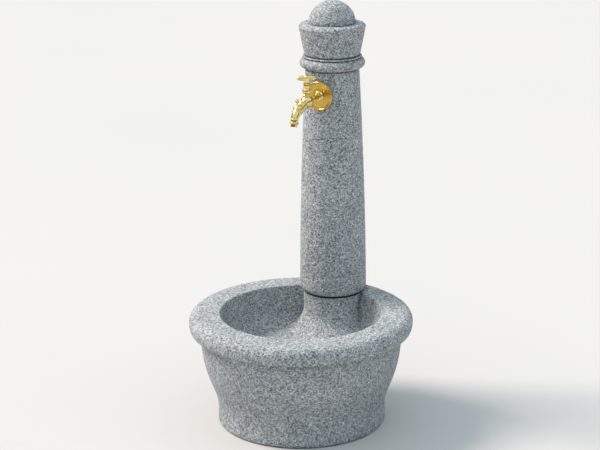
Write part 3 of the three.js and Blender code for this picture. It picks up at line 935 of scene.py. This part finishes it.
def make_finial():
    """A small turned knob on the outside of the bend."""
    knob = FINIAL_HEIGHT - FINIAL_KNOB_HEIGHT / 2
    stem = [(FINIAL_RADIUS * across, FINIAL_HEIGHT * along) for across, along in FINIAL_STEM]
    foot_radius, foot_start = stem[0]
    place = round_the_bend(FINIAL_ANGLE, SPOUT_BEND_RADIUS + SPOUT_RADIUS)
    finial = turned("tap_spout_finial_brass", [
        (0, foot_start),
        (foot_radius, foot_start),
        *bezier((foot_radius, foot_start + FINIAL_FOOT_EDGE), *stem[1:], 10),
        *arc(0, knob, FINIAL_RADIUS, FINIAL_KNOB_HEIGHT / 2, -58, 90, 18)[:-1],
        (0, FINIAL_HEIGHT),
    ], SMALL_BRASS_SEGMENTS, place @ Matrix.Rotation(-math.pi / 2, 4, "X"))
    finish_piece(finial, "brass", "fountain", "tap_spout_finial")


# ---------------------------------------------------------------- headwork and handle


def make_bonnet():
    """A foot, a swelling between two grooves, and a flat top with the bore for the spindle."""
    low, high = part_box("tap_bonnet")
    foot = BONNET_FOOT_RADIUS
    half_height = (high.z - low.z) / 2
    swell_middle = low.z + half_height + BONNET_SWELL_RISE
    swell_radius = high.x - foot + BONNET_CORE_INSET
    swell_half_height = half_height - BONNET_SWELL_ROOM
    top_inset, top_depth = BONNET_TOP_EDGE
    bore_end = high.z - SPINDLE_BORE_DEPTH
    bonnet = turned("tap_bonnet_brass", [
        *rounded([
            (0, low.z, 0),
            *[(foot - inset, low.z + height, fillet) for inset, height, fillet in BONNET_FOOT],
        ]),
        *arc(foot - BONNET_CORE_INSET, swell_middle, swell_radius, swell_half_height, -76, 76, 18),
        *rounded([
            (foot - top_inset, high.z - top_depth, 0),
            (foot - BONNET_TOP_INSET, high.z, 0.0004),
            (SPINDLE_BORE_RADIUS, high.z, 0.0003),
            (SPINDLE_BORE_RADIUS, bore_end, 0),
            (0, bore_end, 0),
        ]),
    ], BRASS_SEGMENTS, spindle_frame)
    finish_piece(bonnet, "brass", "fountain", "tap_bonnet")


def make_gland_nut():
    """A hexagon whose corners are turned off above and below, bored for the spindle."""
    low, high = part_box("tap_gland_nut")
    corner = (high.x - low.x) / 2
    nut = cylinder("tap_gland_nut_brass", corner, low.z, high.z, 6, spindle_frame)
    barrel = turned("barrel", [
        (0, low.z),
        (corner - NUT_CHAMFER, low.z),
        (corner, low.z + NUT_CHAMFER / 2),
        (corner, high.z - NUT_CHAMFER / 2),
        (corner - NUT_CHAMFER, high.z),
        (0, high.z),
    ], BRASS_SEGMENTS, spindle_frame)
    bore = cylinder("bore", SPINDLE_BORE_RADIUS, low.z - OVERCUT, high.z + OVERCUT,
                    SMALL_BRASS_SEGMENTS, spindle_frame)
    combined(nut, "INTERSECT", barrel)
    combined(nut, "DIFFERENCE", bore)
    finish_piece(nut, "brass", "fountain", "tap_gland_nut", sharp=20)


def make_spindle():
    """The round spindle, which carries the handle."""
    low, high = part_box("tap_spindle")
    spindle = turned("tap_spindle_brass", rounded([
        (0, low.z, 0), (high.x, low.z, 0.0003), (high.x, high.z, 0.0002), (0, high.z, 0),
    ]), SMALL_BRASS_SEGMENTS, spindle_frame)
    finish_piece(spindle, "brass", "tap_key", "tap_spindle")


def along_handle(height):
    """A frame on the spindle's axis at that height, whose +Z runs along the crossbar."""
    place = Matrix.Translation((0, spindle_y, height))
    return place @ Matrix.Rotation(HANDLE_ANGLE, 4, "Z") @ Matrix.Rotation(math.pi / 2, 4, "Y")


def make_handle_bar(height):
    """The crossbar, which swells towards the middle."""
    steps = 60
    outline = []
    for i in range(steps + 1):
        along = -math.cos(math.pi * i / steps)
        fullness = max(0.0, 1 - abs(along) ** HANDLE_BAR_FULLNESS)
        outline.append((HANDLE_BAR_RADIUS * math.sqrt(fullness), along * HANDLE_LENGTH / 2))
    return turned("bar", outline, BRASS_SEGMENTS, along_handle(height))


def make_handle():
    """The T-handle, one casting: a waisted hub, a crossbar and a web between the two."""
    low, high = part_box("tap_handle")
    bar_axis = low.z + HANDLE_HUB_HEIGHT
    hub_radius = HANDLE_HUB_RADIUS
    waist_radius = hub_radius - HANDLE_HUB_WAIST
    waist_start, lower_pull = low.z + 0.0022, low.z + 0.005
    waist_end, upper_pull = bar_axis - 0.003, bar_axis - 0.008
    shoulder = bar_axis + 0.002
    hub = turned("tap_handle_brass", [
        (0, low.z),
        (hub_radius - HANDLE_HUB_EDGE, low.z),
        (hub_radius, low.z + HANDLE_HUB_EDGE),
        *bezier((hub_radius, waist_start), (waist_radius, lower_pull),
                (waist_radius, upper_pull), (hub_radius, waist_end), 16),
        (hub_radius, shoulder),
        (hub_radius - HANDLE_HUB_TOP_INSET, high.z),
        (0, high.z),
    ], BRASS_SEGMENTS, spindle_frame)
    bar = make_handle_bar(bar_axis)
    web = turned("web", arc(0, 0, HANDLE_WEB_RADIUS, HANDLE_WEB_HALF_LENGTH, -90, 90, 24),
                 SMALL_BRASS_SEGMENTS, along_handle(bar_axis - HANDLE_WEB_DROP))
    combined(hub, "UNION", bar, web)
    cast(hub, passes=10)
    finish_piece(hub, "brass", "tap_key", "tap_handle", sharp=50)


def make_handle_screw():
    """A round-headed screw with a slot for a screwdriver."""
    low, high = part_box("tap_handle_screw")
    screw = turned("tap_handle_screw_brass", [
        (0, low.z),
        (high.x, low.z),
        *arc(0, low.z, high.x, high.z - low.z, 12, 90, 10)[:-1],
        (0, high.z),
    ], SMALL_BRASS_SEGMENTS, spindle_frame)
    half_width = SCREW_SLOT_WIDTH / 2
    half_length = SCREW_SLOT_LENGTH / 2
    corners = [
        (x, y, z)
        for z in (high.z - SCREW_SLOT_DEPTH, high.z + OVERCUT)
        for y in (-half_width, half_width)
        for x in (-half_length, half_length)
    ]
    sides = [(0, 2, 3, 1), (4, 5, 7, 6), (0, 1, 5, 4), (2, 6, 7, 3), (0, 4, 6, 2), (1, 3, 7, 5)]
    slot = add_mesh("slot", corners, sides, spindle_frame @ Matrix.Rotation(HANDLE_ANGLE, 4, "Z"))
    combined(screw, "DIFFERENCE", slot)
    finish_piece(screw, "satin_brass", "tap_key", "tap_handle_screw")


# ---------------------------------------------------------------- stage


def make_floor():
    """A wide plain floor, nearly even in colour."""
    material, tree, shader = new_material("floor")
    clouds = noise_at(tree, place_on_object(tree), scale=0.6, detail=2)
    colour = ramp(tree, clouds, [(0.3, (0.55, 0.555, 0.56)), (0.7, (0.57, 0.57, 0.575))])
    tree.links.new(colour, shader.inputs["Base Color"])
    shader.inputs["Roughness"].default_value = 0.9
    shader.inputs["Specular IOR Level"].default_value = 0.1
    reach = 60
    ground = cad_bounds[0].z
    corners = [(x * reach, y * reach, ground) for x, y in ((-1, -1), (1, -1), (1, 1), (-1, 1))]
    floor = add_mesh("floor", corners, [(0, 1, 2, 3)])
    floor.data.materials.append(material)


def make_light():
    """A soft key high on the left, and a bright ceiling over walls that stay dark."""
    key_direction = Vector((-0.98, -0.18, 1.07))
    walls, walls_end = (0.16, 0.17, 0.18), 0.24
    ceiling, ceiling_start = (0.86, 0.96, 1.0), 0.40
    lamp = bpy.data.lights.new("key", "SUN")
    lamp.energy = 3.55
    lamp.angle = math.radians(25)
    lamp.color = (1.0, 0.87, 0.77)
    key = bpy.data.objects.new("key", lamp)
    bpy.context.scene.collection.objects.link(key)
    key.rotation_euler = key_direction.to_track_quat("Z", "Y").to_euler()
    world = bpy.data.worlds.new("studio")
    world.use_nodes = True
    bpy.context.scene.world = world
    tree = world.node_tree
    direction = add_node(tree, "ShaderNodeTexCoord", {}).outputs["Generated"]
    rise = add_node(tree, "ShaderNodeSeparateXYZ", {"Vector": direction}).outputs["Z"]
    glow = ramp(tree, rise, [
        (0.0, walls), (walls_end, walls), (ceiling_start, ceiling), (1.0, ceiling),
    ])
    tree.links.new(glow, tree.nodes["Background"].inputs["Color"])


def make_camera():
    """The photograph's view: a long lens, from the front right and from above."""
    place = Vector((1.9328, -3.7805, 1.7985))
    heading, pitch, roll = math.radians(27.079), math.radians(17.039), math.radians(-0.515)
    camera = bpy.data.objects.new("camera", bpy.data.cameras.new("camera"))
    camera.data.lens = 110.19
    bpy.context.scene.collection.objects.link(camera)
    camera.matrix_world = (
        Matrix.Translation(place)
        @ Matrix.Rotation(heading, 4, "Z")
        @ Matrix.Rotation(math.pi / 2 - pitch, 4, "X")
        @ Matrix.Rotation(roll, 4, "Z")
    )
    bpy.context.scene.camera = camera


make_camera()
make_light()
make_floor()

make_basin()
make_setting_bed()
make_column_stone("column_shaft", shaft_outline, COLUMN_SPACING)
make_column_stone("collar_ring", collar_outline, HEAD_SPACING)
make_column_stone("neck_ring", neck_outline, HEAD_SPACING)
make_column_stone("capital", capital_outline, HEAD_SPACING)
make_column_stone("dome_cap", dome_outline, HEAD_SPACING)
make_drain_flange()
make_drain_strainer()

make_rosette()
make_wall_boss()
make_inlet_pipe()
make_inlet_ring()
make_body()
make_spout_ring()
make_spout()
make_nozzle()
make_finial()
make_bonnet()
make_gland_nut()
make_spindle()
make_handle()
make_handle_screw()
paint(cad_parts["tap_rosette_seal"], "mortar")

bpy.context.scene.view_settings.view_transform = "Standard"
